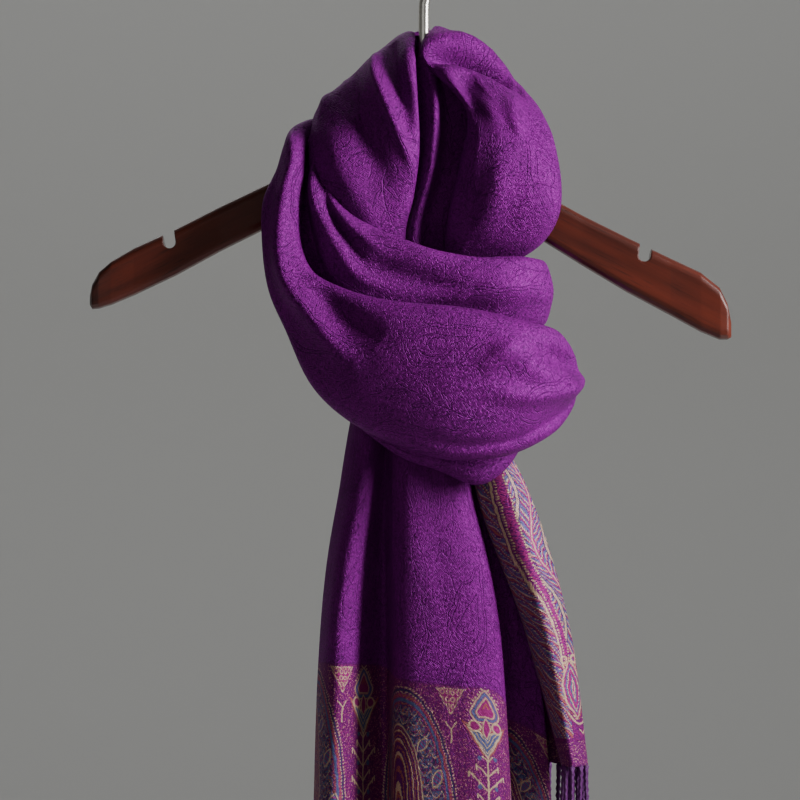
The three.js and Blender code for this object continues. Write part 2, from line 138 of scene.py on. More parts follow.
UPPER_WRAP = {
    "turn": 2.0,
    "flat": 0.75,
    "rows": [
        [-78, 8, -154, -66, 8, -146, 2],
        [-84, -8, -167.5, -68, -5, -154, 3],
        [-90, -10.3, -191, -62, -25, -183, 7],
        [-90, -12.5, -217, -47, -29, -201, 9],
        [-82, -16, -247, -27, -29, -212, 11],
        [-62, -20, -266, -9, -29, -219, 12],
        [-16, -24, -269, 10, -29, -225, 12],
        [16, -25, -270, 35, -26, -229, 13],
        [49, -18, -273, 59, -20, -228, 13],
        [73, -2, -274, 75, -3, -230, 9],
        [68, 19, -271, 66, 17, -228, 8],
        [30, 27, -267, 30, 27, -227, 8],
        [-20, 24, -262, -20, 24, -224, 7],
        [-52, 7, -252, -50, 9, -218, 5],
    ],
    "folds": [
        [0.04, 0.6, 0.2, 0.4, 0.44, 0.14, -10, 5],
        [0.05, 0.95, 0.2, 0.68, 0.42, 0.42, 5, 5],
        [0.1, 1.0, 0.22, 0.82, 0.36, 0.62, -4.5, 3],
        [0.16, 0.99, 0.24, 0.93, 0.36, 0.8, 3.5, 4],
        [0.34, 0.7, 0.44, 0.6, 0.54, 0.5, -4, 8],
        [0.46, 0.2, 0.53, 0.14, 0.6, 0.22, -6, 7],
        [0.55, 0.6, 0.64, 0.5, 0.72, 0.55, 3, 9],
        [0.76, 0.6, 0.86, 0.5, 0.98, 0.55, 3, 8],
    ],
}

LOWER_WRAP = {
    "turn": 2.0,
    "flat": 0.72,
    "rows": [
        [-50, 14, -146, -46, 15, -135, 3],
        [-68, 14, -160, -58, 14, -146, 3],
        [-84, 6, -155, -69, 6, -136, 5],
        [-94, -14, -169, -77, -9, -153, 8],
        [-104, -18, -192, -79, -19, -184, 12],
        [-104, -20, -218, -80, -26, -217, 14],
        [-99, -22, -250, -72, -31, -238, 16],
        [-87, -25, -277, -53, -38, -249, 18],
        [-71, -29, -311, -30, -44, -256, 22],
        [-49, -33, -333, -8, -46, -259, 27],
        [-19, -36, -349, 17, -46, -261, 30],
        [14, -38, -359, 41, -44, -265, 31],
        [49, -35, -357, 63, -36, -271, 27],
        [79, -24, -343, 81, -20, -277, 17],
        [93, -4, -324, 90, 0, -290, 10.5],
        [84, 18, -330, 80, 18, -284, 10],
        [50, 32, -336, 48, 32, -280, 10],
        [0, 36, -332, 0, 36, -274, 10],
        [-46, 27, -318, -44, 27, -262, 9],
        [-72, 4, -292, -64, 4, -250, 6],
    ],
    "folds": [
        [0.109, 0.6, 0.318, 0.62, 0.451, 0.42, 8, 7],
        [0.242, 0.16, 0.337, 0.14, 0.451, 0.16, -3, 8],
        [0.337, 0.84, 0.394, 0.74, 0.469, 0.68, -5, 9],
        [0.583, 0.9, 0.621, 0.72, 0.716, 0.44, 5, 10],
        [0.63, 0.8, 0.68, 0.68, 0.735, 0.6, -8, 8],
        [0.545, 0.12, 0.602, 0.09, 0.678, 0.16, -4, 4],
        [0.621, 0.2, 0.697, 0.16, 0.773, 0.2, -3, 6],
        [0.6, 0.5, 0.68, 0.36, 0.77, 0.37, 6, 6],
        [0.58, 0.62, 0.6, 0.74, 0.62, 0.92, 4, 6],
        [0.754, 0.62, 0.848, 0.55, 0.962, 0.6, 4, 9],
        [0.754, 0.26, 0.848, 0.3, 0.962, 0.26, 3, 8],
    ],
}

UNDER_TURN = {
    "turn": 1.9,
    "flat": 0.85,
    "rows": [
        [-39.6, -20, -342, -39.6, -20, -328, 3],
        [-15.6, -24, -359, -15.6, -24, -340, 5],
        [9.4, -25, -368, 10.4, -25, -348, 6],
        [33.4, -24, -377, 34.4, -25, -354, 8],
        [49.4, -19, -370, 49.4, -19, -349, 7],
        [59.4, -6, -356, 59.4, -6, -340, 5],
        [56.4, 7, -349, 56.4, 7, -337, 3],
    ],
    "folds": [
        [0.3, 0.7, 0.5, 0.5, 0.7, 0.6, -2, 3],
    ],
}

FRONT_TAIL = {
    "tops": [-302.9, -374, -480, -744],
    "rows": [
        [-14, 8, -20, 10, -34, 16, -40, 20, -4],
        [-34, 8, -48, 10, -62, 14, -71, 16, -2],
        [-42, 0, -54, 0, -68, -1, -77, -1, 0],
        [-34, -12, -40, -15, -55, -22, -62, -27, 0],
        [-22, -2, -26, 3, -27, 7, -25, 9, 4],
        [-14, -11, -16, -15, -15, -22, -16, -25, 10],
        [4, -14, 10, -18, 20, -28, 26, -31, 14],
        [16, -12, 25, -14, 43, -24, 53, -27, 17],
        [22, -6, 30, -6, 51, -12, 65, -14, 29],
        [12, 0, 18, 1, 38, -1, 51, -5, 31],
        [24, 3, 36, 4, 66, 2, 84, -2, 44],
        [28, 9, 42, 11, 76, 4, 95, 0, 51],
        [16, 11, 28, 15, 60, 16, 76, 12, 54],
    ],
}

SIDE_TAIL = {
    "tops": [-316, -385, -470, -562],
    "rows": [
        [29.4, -5, 36.4, -4, 65.4, -6, 91.4, -5, 2],
        [29.4, -9, 37.4, -12, 67.4, -14, 92.4, -13, 0],
        [32.4, -9, 53.4, -18, 79.4, -25, 97.4, -22, 0],
        [33.4, -3, 69.4, -8, 94.4, -9, 107.4, -7, 0],
        [28.4, 1, 56.4, 0, 76.4, -1, 93.4, 1, 1],
        [32.4, 6, 68.4, 6, 93.4, 6, 106.4, 9, 2],
        [42.4, 12, 50.4, 16, 76.4, 16, 90.4, 18, 2],
        [34.4, 18, 46.4, 24, 64.4, 30, 74.4, 34, 0],
        [22.4, 16, 26.4, 19, 40.4, 25, 46.4, 26, -2],
        [10.4, 21, 10.4, 28, 18.4, 36, 22.4, 38, -4],
        [0.4, 16, -3.6, 20, -1.6, 26, 0.4, 27, -6],
        [-11.6, 21, -17.6, 27, -23.6, 35, -23.6, 38, -8],
        [-21.6, 16, -29.6, 18, -41.6, 26, -45.6, 28, -10],
        [-31.6, 14, -39.6, 17, -55.6, 24, -61.6, 26, -12],
    ],
}

# Shapes


def spline(values, place):
    """Smooth values between the rows of a table, at places from 0 to 1."""
    values = np.asarray(values, float)
    last = len(values) - 1
    index = np.clip(place, 0, 1) * last
    low = np.minimum(index.astype(int), last - 1)
    f = (index - low)[..., None]
    p, q, r, w = (values[np.clip(low + k, 0, last)] for k in (-1, 0, 1, 2))
    return q + 0.5 * f * (r - p + f * (2 * p - 5 * q + 4 * r - w + f * (3 * (q - r) + w - p)))


def smooth_noise(x, y, seed):
    """Smooth noise from -1 to 1, with cells of size 1."""
    cell_x, cell_y = np.floor(x), np.floor(y)
    fx, fy = x - cell_x, y - cell_y
    fx, fy = fx**3 * (fx * (fx * 6 - 15) + 10), fy**3 * (fy * (fy * 6 - 15) + 10)

    def corner(dx, dy):
        mixed = np.sin((cell_x + dx) * 127.1 + (cell_y + dy) * 311.7 + seed * 74.7) * 43758.5453
        return 2 * (mixed - np.floor(mixed)) - 1

    top = corner(0, 0) * (1 - fx) + corner(1, 0) * fx
    bottom = corner(0, 1) * (1 - fx) + corner(1, 1) * fx
    return top * (1 - fy) + bottom * fy


def wrinkles(u, v, seed):
    """Soft uneven creases that run along the cloth, with small slanting ones between them."""
    sway = 9 * smooth_noise(u / 46, v / 80, seed)
    long_crease = 1 - np.abs(smooth_noise((u + sway) / 21, v / 110, seed + 1))
    slant = smooth_noise((u + 0.55 * v) / 19, (v - 0.3 * u) / 44, seed + 2)
    small = smooth_noise((u - 0.4 * v + sway) / 8, v / 26, seed + 3)
    return 0.5 * long_crease**3 + 0.5 * slant + 0.08 * small


def distances(points, axis):
    """How far each point of a grid lies along its line, from the line's start."""
    steps = np.linalg.norm(np.diff(points, axis=axis), axis=2)
    total = np.cumsum(steps, axis=axis)
    first = np.zeros_like(np.take(total, [0], axis=axis))
    return np.concatenate([first, total], axis=axis)


def fold_height(fold, s, t, length, width):
    """Height of one fold on a band: full on its line, gone two breadths away, tapered at its ends."""
    from_s, from_t, via_s, via_t, to_s, to_t, height, breadth = fold
    q = np.linspace(0, 1, 25)
    line_s = (1 - q) ** 2 * from_s + 2 * q * (1 - q) * via_s + q**2 * to_s
    line_t = (1 - q) ** 2 * from_t + 2 * q * (1 - q) * via_t + q**2 * to_t
    x, y = s * length, t * width
    nearest = np.full(s.shape, 1e9)
    place = np.zeros(s.shape)
    for k in range(len(q) - 1):
        from_x, from_y = line_s[k] * length, line_t[k] * width
        step_x, step_y = line_s[k + 1] * length - from_x, line_t[k + 1] * width - from_y
        share = ((x - from_x) * step_x + (y - from_y) * step_y) / (step_x**2 + step_y**2)
        share = np.clip(share, 0, 1)
        away = np.hypot(x - from_x - share * step_x, y - from_y - share * step_y)
        closer = away < nearest
        nearest = np.where(closer, away, nearest)
        place = np.where(closer, (k + share) / (len(q) - 1), place)
    taper = np.sin(np.pi * np.clip(place, 0.02, 0.98)) ** 0.6
    return height * taper * np.exp(-((nearest / breadth) ** 2))


def band_surface(band, along, across, wrinkle, seed):
    """Points of a band of cloth and their place in the cloth, in millimetres."""
    rows = np.array(band["rows"], float)

    def middle_at(place):
        values = spline(rows, place)
        return (values[:, 0:3] + values[:, 3:6]) / 2

    s = np.linspace(0, 1, along + 1)
    values = spline(rows, s)
    edge, crown = values[:, None, 0:3], values[:, 6:7]
    width = values[:, None, 3:6] - edge
    ahead = middle_at(np.minimum(s + 0.01, 1)) - middle_at(np.maximum(s - 0.01, 0))
    out = np.cross(ahead, width[:, 0])
    out /= np.linalg.norm(out, axis=1, keepdims=True)
    fullness = np.clip((crown - THIN_CROWN) / (FULL_CROWN - THIN_CROWN), 0, 1)
    turn = THIN_TURN + (band["turn"] - THIN_TURN) * fullness

    def rise(angle):
        facing = np.cos(angle)
        return np.where(facing > 0, np.maximum(facing, 1e-9) ** band["flat"], facing)

    angle = turn * np.linspace(-1, 1, across + 1)
    t = 0.5 + 0.5 * np.sin(angle)
    facing = np.maximum(np.cos(angle), 0)
    height = crown * (rise(angle) - rise(turn)) / (1 - rise(turn))
    length = np.linalg.norm(np.diff(middle_at(np.linspace(0, 1, 41)), axis=0), axis=1).sum()
    breadth = np.linalg.norm(width[:, 0], axis=1)[:, None]
    places = np.broadcast_to(s[:, None], t.shape)
    for fold in band["folds"]:
        height = height + np.sqrt(facing) * fold_height(fold, places, t, length, breadth)
    points = edge + width * t[..., None] + out[:, None] * height[..., None]
    u = distances(points, 1)
    u = u - u[:, [across // 2]]
    v = np.broadcast_to(distances(points, 0)[:, [across // 2]], u.shape)
    soft = wrinkle * wrinkles(u, v, seed) * facing**0.5
    return points + out[:, None] * soft[..., None], u, v


def tail_surface(tail, along, across, wrinkle, seed):
    """Points of a hanging tail and their place in the cloth: u across its hem and v up from its hem."""
    t = np.linspace(0, 1, across + 1)
    s = np.linspace(0, 1, along + 1)
    values = spline(tail["rows"], t)
    stations = np.array([
        np.stack([values[:, 2 * k], values[:, 2 * k + 1], np.full(len(t), top)], axis=1)
        for k, top in enumerate(tail["tops"])
    ])
    points = spline(stations.reshape(len(stations), -1), s).reshape(len(s), len(t), 3)
    points[..., 2] -= values[:, 8] * s[:, None] ** 2
    u = np.broadcast_to(distances(points[-1:], 1), points.shape[:2])
    down = distances(points, 0)
    v = down[-1:] - down
    normal = surface_normals(points)
    gather = 1 - s[:, None]
    bend = 0.4 * smooth_noise(u / 30, v / 90, seed)
    creases = 1 - np.abs(smooth_noise(u / 19 + bend, v / 190, seed + 1))
    fine = smooth_noise(u / 9, v / 70, seed + 2)
    sway = smooth_noise(u / 44, v / 120, seed + 3)
    soft = wrinkle * (1.6 * creases**3 * gather**1.5 + 0.16 * fine + 1.0 * sway * s[:, None])
    return points + normal * soft[..., None], u, v


def surface_normals(points):
    """Unit normals of a grid of points."""
    normal = np.cross(np.gradient(points, axis=0), np.gradient(points, axis=1))
    return normal / np.maximum(np.linalg.norm(normal, axis=2, keepdims=True), 1e-9)


def make_object(name, vertices, faces, uv, material):
    """A mesh object from points in millimetres, with one place in the cloth for each point."""
    mesh = bpy.data.meshes.new(name)
    mesh.from_pydata((vertices * MM).tolist(), [], faces.tolist())
    layer = mesh.uv_layers.new(name="cloth")
    corners = np.empty(len(mesh.loops), dtype=np.int32)
    mesh.loops.foreach_get("vertex_index", corners)
    layer.data.foreach_set("uv", (uv[corners] * MM).astype(np.float32).ravel())
    mesh.polygons.foreach_set("use_smooth", np.ones(len(mesh.polygons), dtype=bool))
    mesh.materials.append(material)
    mesh.update()
    thing = bpy.data.objects.new(name, mesh)
    bpy.context.scene.collection.objects.link(thing)
    return thing


def grid_faces(rows, columns, offset=0, flip=False):
    """Four-sided faces between the points of a grid."""
    i, j = np.meshgrid(np.arange(rows - 1), np.arange(columns - 1), indexing="ij")
    a = (i * columns + j).ravel() + offset
    quads = np.stack([a, a + columns, a + columns + 1, a + 1], axis=1)
    return quads[:, ::-1] if flip else quads


def cloth_object(name, surface, material, wall=CLOTH_WALL):
    """A closed thin shell on both sides of a surface."""
    points, u, v = surface
    rows, columns = u.shape
    half = surface_normals(points) * wall / 2
    vertices = np.concatenate([(points + half).reshape(-1, 3), (points - half).reshape(-1, 3)])
    count = rows * columns
    rim = np.concatenate([
        np.arange(rows - 1) * columns,
        (rows - 1) * columns + np.arange(columns - 1),
        (np.arange(rows - 1, 0, -1) + 1) * columns - 1,
        np.arange(columns - 1, 0, -1),
    ])
    after = np.roll(rim, -1)
    edge = np.stack([after, rim, rim + count, after + count], axis=1)
    faces = np.concatenate([grid_faces(rows, columns), grid_faces(rows, columns, count, True), edge])
    uv = np.stack([u.ravel(), v.ravel()], axis=1)
    return make_object(name, vertices, faces, np.concatenate([uv, uv]), material)


def fringe_object(name, surface, material, seed):
    """Twisted two-ply strands that hang from the last row of a surface."""
    points, u, _ = surface
    hem, hem_u = points[-1], u[-1]
    count = int(hem_u[-1] / STRAND_SPACING)
    rings, sides = STRAND_RINGS, STRAND_SIDES
    random = np.random.default_rng(seed)
    place = (np.arange(count) + 0.5 + random.uniform(-0.22, 0.22, count)) / count * hem_u[-1]
    root = np.stack([np.interp(place, hem_u, hem[:, k]) for k in range(3)], axis=1)
    down = np.linspace(0, 1, rings)
    length = FRINGE_LENGTH * random.uniform(0.9, 1.04, count)
    lean = random.normal(0, 0.028, (count, 2))
    wave = random.uniform(0.5, 1.6, (count, 2))
    phase = random.uniform(0, 6.28, (count, 2))
    centre = np.repeat(root[:, None], rings, axis=1)
    for k in range(2):
        drift = lean[:, k, None] * length[:, None] * down**1.3
        curl = wave[:, k, None] * np.sin(phase[:, k, None] + 5.2 * down) * down
        centre[..., k] += drift + curl
    centre[..., 2] += 1.5 - (length[:, None] + 1.5) * down
    theta = np.arange(sides) / sides * 2 * np.pi
    spin = phase[:, :1, None] + down[None, :, None] * length[:, None, None] / STRAND_TWIST * 2 * np.pi
    ply = 1 + 0.3 * np.cos(2 * (theta - spin))
    # a knot at the hem and another near the end
    thickness_at = [0, 0.03, 0.07, 0.12, 0.86, 0.9, 0.93, 0.97, 1]
    thickness = [0.4, 1.2, 1.3, 1, 0.9, 1.35, 1.2, 0.95, 0.3]
    body = np.interp(down, thickness_at, thickness)
    radius = STRAND_RADIUS * ply * body[None, :, None]
    ring = np.stack([np.cos(theta), np.sin(theta), np.zeros(sides)], axis=1)
    vertices = centre[:, :, None] + ring[None, None] * radius[..., None]
    vertices = vertices.reshape(-1, 3)
    faces = []
    for k in range(count):
        start = k * rings * sides
        for i in range(rings - 1):
            for j in range(sides):
                a = start + i * sides + j
                b = start + i * sides + (j + 1) % sides
                faces.append((a, a + sides, b + sides, b))
    tube = np.array(faces)
    uv_u = np.broadcast_to((theta - spin) * 10, (count, rings, sides)).ravel()
    uv_v = np.broadcast_to((down * FRINGE_LENGTH)[None, :, None], (count, rings, sides)).ravel()
    thing = make_object(name, vertices, tube, np.stack([uv_u, uv_v], axis=1), material)
    # one face over each open end
    work = bmesh.new()
    work.from_mesh(thing.data)
    work.edges.ensure_lookup_table()
    bmesh.ops.holes_fill(work, edges=[e for e in work.edges if e.is_boundary], sides=sides)
    bmesh.ops.recalc_face_normals(work, faces=work.faces)
    work.to_mesh(thing.data)
    work.free()
    return thing


# Materials


class Value:
    """One value in a material's nodes, with arithmetic that adds the nodes it needs."""

    def __init__(self, tree, socket):
        self.tree = tree
        self.socket = socket

    def math(self, operation, *others, first=None):
        node = self.tree.nodes.new("ShaderNodeMath")
        node.operation = operation
        items = ((self,) if first is None else (first, self)) + others
        for slot, item in zip(node.inputs, items):
            if isinstance(item, Value):
                self.tree.links.new(item.socket, slot)
            else:
                slot.default_value = item
        return Value(self.tree, node.outputs[0])

    def __add__(self, other):
        return self.math("ADD", other)

    __radd__ = __add__

    def __sub__(self, other):
        return self.math("SUBTRACT", other)

    def __rsub__(self, other):
        return self.math("SUBTRACT", first=other)

    def __mul__(self, other):
        return self.math("MULTIPLY", other)

    __rmul__ = __mul__

    def __truediv__(self, other):
        return self.math("DIVIDE", other)

    def __pow__(self, other):
        return self.math("POWER", other)

    def __abs__(self):
        return self.math("ABSOLUTE")

    def __gt__(self, other):
        return self.math("GREATER_THAN", other)

    def __lt__(self, other):
        return self.math("LESS_THAN", other)

    def floor(self):
        return self.math("FLOOR")

    def sin(self):
        return self.math("SINE")

    def sqrt(self):
        return self.math("SQRT")

    def max(self, other):
        return self.math("MAXIMUM", other)

    def clamp(self, scale=1, shift=0):
        """The value times scale plus shift, kept between 0 and 1."""
        result = self.math("MULTIPLY_ADD", scale, shift)
        result.socket.node.use_clamp = True
        return result

    def wrap(self, low, high):
        """The value repeated between low and high."""
        return self.math("WRAP", high, low)

    def line(self, half, soft=0.3):
        """1 on a line of this half width about 0, and 0 away from it."""
        return abs(self).clamp(-0.5 / soft, (half + soft) * 0.5 / soft)

    def inside(self, soft=0.3):
        """1 where the value is below 0."""
        return self.clamp(-0.5 / soft, 0.5)


class Finish:
    """A material with one Principled BSDF, and the helpers that add nodes to it."""

    def __init__(self, name, **constants):
        self.material = bpy.data.materials.new(name)
        self.material.use_nodes = True
        self.tree = self.material.node_tree
        self.tree.nodes.clear()
        self.shader = self.tree.nodes.new("ShaderNodeBsdfPrincipled")
        output = self.tree.nodes.new("ShaderNodeOutputMaterial")
        self.tree.links.new(self.shader.outputs[0], output.inputs[0])
        for socket, value in constants.items():
            self.shader.inputs[socket.replace("_", " ")].default_value = value

    def node(self, kind, settings=None, inputs=None):
        node = self.tree.nodes.new(kind)
        for key, value in (settings or {}).items():
            setattr(node, key, value)
        for key, value in (inputs or {}).items():
            self.feed(node.inputs[key], value)
        return node

    def feed(self, socket, value):
        if isinstance(value, Value):
            self.tree.links.new(value.socket, socket)
        elif isinstance(value, bpy.types.NodeSocket):
            self.tree.links.new(value, socket)
        else:
            socket.default_value = value

    def value(self, socket):
        return Value(self.tree, socket)

    def mix(self, factor, first, second):
        """A colour between two colours."""
        node = self.node("ShaderNodeMix", {"data_type": "RGBA"})
        self.feed(node.inputs[0], factor)
        self.feed(node.inputs[6], first)
        self.feed(node.inputs[7], second)
        return node.outputs[2]

    def split(self, vector):
        node = self.node("ShaderNodeSeparateXYZ", inputs={0: vector})
        return [self.value(socket) for socket in node.outputs]

    def vector(self, *parts):
        node = self.node("ShaderNodeCombineXYZ")
        for socket, part in zip(node.inputs, parts):
            self.feed(socket, part)
        return node.outputs[0]

    def noise(self, vector, scale, detail=2.0, roughness=0.5):
        node = self.node(
            "ShaderNodeTexNoise",
            inputs={"Vector": vector, "Scale": scale, "Detail": detail, "Roughness": roughness},
        )
        return self.value(node.outputs[0])

    def bump(self, height, strength, distance, normal=None):
        node = self.node(
            "ShaderNodeBump", inputs={"Height": height, "Strength": strength, "Distance": distance}
        )
        if normal is not None:
            self.feed(node.inputs["Normal"], normal)
        return node.outputs[0]

    def plug(self, name, value):
        self.feed(self.shader.inputs[name], value)


PURPLE = (0.23, 0.005, 0.245, 1)
DEEP_PURPLE = (0.075, 0.002, 0.088, 1)
YARN_PURPLE = (0.16, 0.005, 0.2, 1)
BORDER_GROUND = (0.13, 0.008, 0.13, 1)
MAGENTA = (0.33, 0.02, 0.17, 1)
BLUE = (0.085, 0.125, 0.27, 1)
DARK_BLUE = (0.035, 0.04, 0.11, 1)
RUST = (0.42, 0.12, 0.07, 1)
CREAM = (0.68, 0.49, 0.29, 1)


def reach(x, y):
    """Distance from 0, 0."""
    return (x * x + y * y).sqrt()


def teardrop(x, y, half_width, height, bend):
    """How far a place lies outside a teardrop that stands on 0, 0 with its tip up and bent to one side."""
    q = (y / height).clamp()
    half = q.sqrt() * (1 - q) * (2.6 * half_width)
    past = (y - height).max(0) + (0 - y).max(0)
    return abs(x - q * q * q * bend) - half + past


def egg(x, y, half_width, centre, above, below):
    """How far a place lies outside an egg shape, from its centre's height and its reach above and below."""
    up = ((centre - y) / above).max((y - centre) / below)
    return (reach(x / half_width, up) - 1) * (half_width + up * up * 36)


def scroll(x, y, turns, gap):
    """A curl of line about 0, 0."""
    from_centre = reach(x, y)
    angle = y.math("ARCTAN2", x) * (gap / 6.2832)
    arm = (from_centre - angle).wrap(-gap / 2, gap / 2)
    return arm.line(0.3, 0.25) * (turns * gap - from_centre).clamp()


def field_relief(finish, u, v):
    """The tone-on-tone pattern of the field: nested teardrops, leafy stems and curls. 1 on its lines."""
    wander = finish.noise(finish.vector(u, v, 0.0), 0.045, 1.0)
    drift = finish.noise(finish.vector(u, v, 40.0), 0.05, 1.0)
    u = u + (wander - 0.5) * 12
    v = v + (drift - 0.5) * 12
    row = (v / 88).floor()
    x = (u + row * 34).wrap(-34, 34)
    y = v.wrap(0, 88)
    drop = teardrop(x + 12, y - 6, 15, 62, 20)
    lines = drop.line(0.32, 0.25).max((drop + 2.6).line(0.25, 0.2))
    core = teardrop(x + 12, y - 14, 7, 34, 9)
    lines = lines.max(core.line(0.3, 0.25)).max(scroll(x + 12, y - 24, 1.2, 4.4))
    stem_x = x - 19 - (v * 0.0714).sin() * 5
    side = abs(stem_x)
    lines = lines.max(stem_x.line(0.3, 0.25))
    leaf_y = (y + side * 1.1).wrap(0, 14.67)
    leaf = (side - 4.6) * (side - 4.6) / 12 + (leaf_y - 7) * (leaf_y - 7) / 4 - 1
    lines = lines.max((leaf * 1.6).line(0.5, 0.3))
    lines = lines.max(scroll(x + 22, y - 74, 1.6, 5.4)).max(scroll(x - 2, y - 78, 1.3, 4))
    ring_x, ring_y = x - 5, y - 12
    petals = (ring_y.math("ARCTAN2", ring_x) * 6).sin() * 1.3
    flower = reach(ring_x, ring_y) - 5 - petals
    lines = lines.max(flower.line(0.3, 0.25)).max((flower + 2.6).line(0.25, 0.2))
    twig = (stem_x * 0.7 + y * 0.5 + (y * 0.19).sin() * 4).wrap(-17, 17)
    return lines.max(twig.line(0.25, 0.25) * (wander > 0.5))


def front_border(finish, u, y, speck):
    """The woven border, by a place across it and how far it lies below the border's top edge."""
    column = (u - STEM_AT).wrap(-HALF_REPEAT, HALF_REPEAT)
    colour = finish.mix(((speck - 0.42) * 4).clamp(), BORDER_GROUND, MAGENTA)
    colour = finish.mix((speck > 0.66) * 0.6, colour, CREAM)

    def paint(mask, shade):
        nonlocal colour
        colour = finish.mix(mask, colour, shade)

    # a big teardrop with a rounded top: rope rims, a blue ground and a core of thin lines
    x = (u - TEARDROP_AT).wrap(-HALF_REPEAT, HALF_REPEAT)
    rim = egg(x, y, 38, 93, 85, 54)
    rope = (y * 1.1 + abs(x) * 0.6).wrap(0, 2.5)
    paint((rim - 2.6).line(0.5) * (rope > 1.2), CREAM)
    paint((rim - 0.7).line(0.7), DARK_BLUE)
    paint((rim + 0.5).line(0.4) * (rope < 1.3), CREAM)
    paint((rim + 2.2).line(0.8), MAGENTA)
    paint((rim + 2.2).line(0.7) * (rope > 0.9), RUST)
    paint((rim + 4.4).line(0.9), BLUE)
    paint((rim + 6.2).line(0.4) * (rope < 1.4), RUST)
    inside = (rim + 7).inside()
    paint(inside, DARK_BLUE)
    sprinkle = finish.noise(finish.vector(u, y, 9.0), 0.34, 1.0)
    paint(inside * (sprinkle > 0.5), BLUE)
    paint(inside * (sprinkle - 0.6).line(0.03, 0.02), RUST)
    paint(inside * (sprinkle - 0.42).line(0.025, 0.02), MAGENTA)
    scales = (x.wrap(-4, 4) ** 2 * 0.3 + y).wrap(0, 6.5)
    paint(inside * (scales - 3).line(0.4) * (speck > 0.45), CREAM)
    core = egg(x + 4, y, 19, 92, 62, 40)
    paint(core.inside(), BORDER_GROUND)
    paint(core.line(0.5), CREAM)
    paint((core + 1.4).inside() * ((core * 3.1).sin() > 0.3) * (speck > 0.44), RUST)
    paint((core + 1.4).inside() * ((core * 1.55).sin() > 0.86), CREAM)
    # leaves between the core and the rim
    for leaf_x, leaf_y, lean in ((25, 62, -0.5), (31, 92, -0.15), (22, 118, 0.5), (14, 41, -0.8)):
        along = (y - leaf_y) + (abs(x) - leaf_x) * lean
        across = (abs(x) - leaf_x) - (y - leaf_y) * lean
        leaf = abs(across) - 3.4 * (1 - (along / 7.5) ** 2)
        paint(leaf.inside(), BLUE)
        paint(leaf.inside() * (along.wrap(0, 3) - 1.5).line(0.5), MAGENTA)
        paint(leaf.line(0.5) * (abs(along) < 8.5), CREAM)
    # flower at the top of a stem: a pointed bulb, three petals and a striped cup
    side = abs(column)
    shoulder = (1 - ((15.5 - y) / 13.5).clamp()) ** 0.8 * (1 - ((y - 15.5) / 8).clamp() ** 2).sqrt()
    bulb = ((side - 11.5 * shoulder) * 0.8).max(y - 23).max(2 - y)
    spikes = (y + side * 0.4).wrap(0, 2.6) > 1.5
    paint((bulb - 1.9).line(0.7) * spikes * (y < 11), CREAM)
    paint(bulb.inside(), MAGENTA)
    paint(bulb.line(0.5), CREAM)
    paint((bulb + 1.9).line(0.9), BLUE)
    paint((bulb + 3.7).line(0.4), CREAM)
    paint((bulb + 6.4).line(0.5) * (y < 14), RUST)
    cup_half = (46 - y) * 0.66
    cup = ((side - cup_half) * 0.84).max(32 - side * 0.5 - y)
    paint(cup.inside(), DARK_BLUE)
    stripes = (y - 46 + side * 1.25).wrap(0, 3.6)
    paint(cup.inside() * (stripes > 1.2), BLUE)
    paint(cup.inside() * (stripes - 0.6).line(0.45), CREAM)
    paint(cup.line(0.55), CREAM)
    paint((cup - 1.3).line(0.4) * (y < 45), RUST)
    petal = reach((side - 8.6) / 1.25, y - 26.5 + side * 0.15) - 3.3
    paint(petal.inside(), MAGENTA)
    paint(petal.line(0.5), CREAM)
    middle = side * 1.1 - 3.2 * (1 - ((y - 27) / 6.5) ** 2)
    paint(middle.inside(), MAGENTA)
    paint(middle.line(0.5) * (abs(y - 27) < 7.5), CREAM)
    # stem with hooked branches and spurs
    on_stem = y > 45
    paint(on_stem * column.line(0.6), CREAM)
    branch = (y + side * 0.92).wrap(0, 9.5) - 1
    long_branch = (y + side * 0.92).wrap(0, 19) > 9.5
    tip = 8 + 5.5 * long_branch
    paint(on_stem * branch.line(0.62) * (tip - side).clamp(), CREAM)
    hook = (y + tip * 0.92).wrap(0, 9.5)
    paint(on_stem * (side - tip).line(0.55) * (hook < 4.2) * (hook > 0.4), CREAM)
    spur = (side.wrap(0, 4.4) - 2.2).line(0.45) * branch.line(2.1, 0.2)
    paint(on_stem * spur * (side > 3) * (side < 14) * long_branch, CREAM)
    bud = reach(side - 6, (y + 6).wrap(0, 19) - 14) - 1.6
    paint(on_stem * bud.inside(), BLUE)
    # little crowns under the top edge, and a fork below each
    crown_x = (u - CROWN_AT).wrap(-HALF_REPEAT, HALF_REPEAT)
    crown = (abs(crown_x) * 0.92 + (y - 18.5) * 0.58).max(2.5 - y)
    dots = (y + abs(crown_x)).wrap(0, 1.9) > 0.7
    paint(crown.inside(), MAGENTA)
    paint(crown.line(0.55) * dots * (y > 2), CREAM)
    curls = reach(abs(crown_x).wrap(-0.3, 4.1) - 1.9, (y - 2.6).wrap(0, 4.4) - 2.2) - 1.4
    paint((crown + 1).inside() * (curls + 1.1).inside(), BLUE)
    paint((crown + 1).inside() * curls.line(0.35) * (speck > 0.4), CREAM)
    fork = y - 29 + abs(crown_x) * 1.15
    paint(fork.line(0.6) * (abs(crown_x) < 4.6), CREAM)
    paint(crown_x.line(0.5) * (y > 29) * (y < 38), CREAM)
    return colour


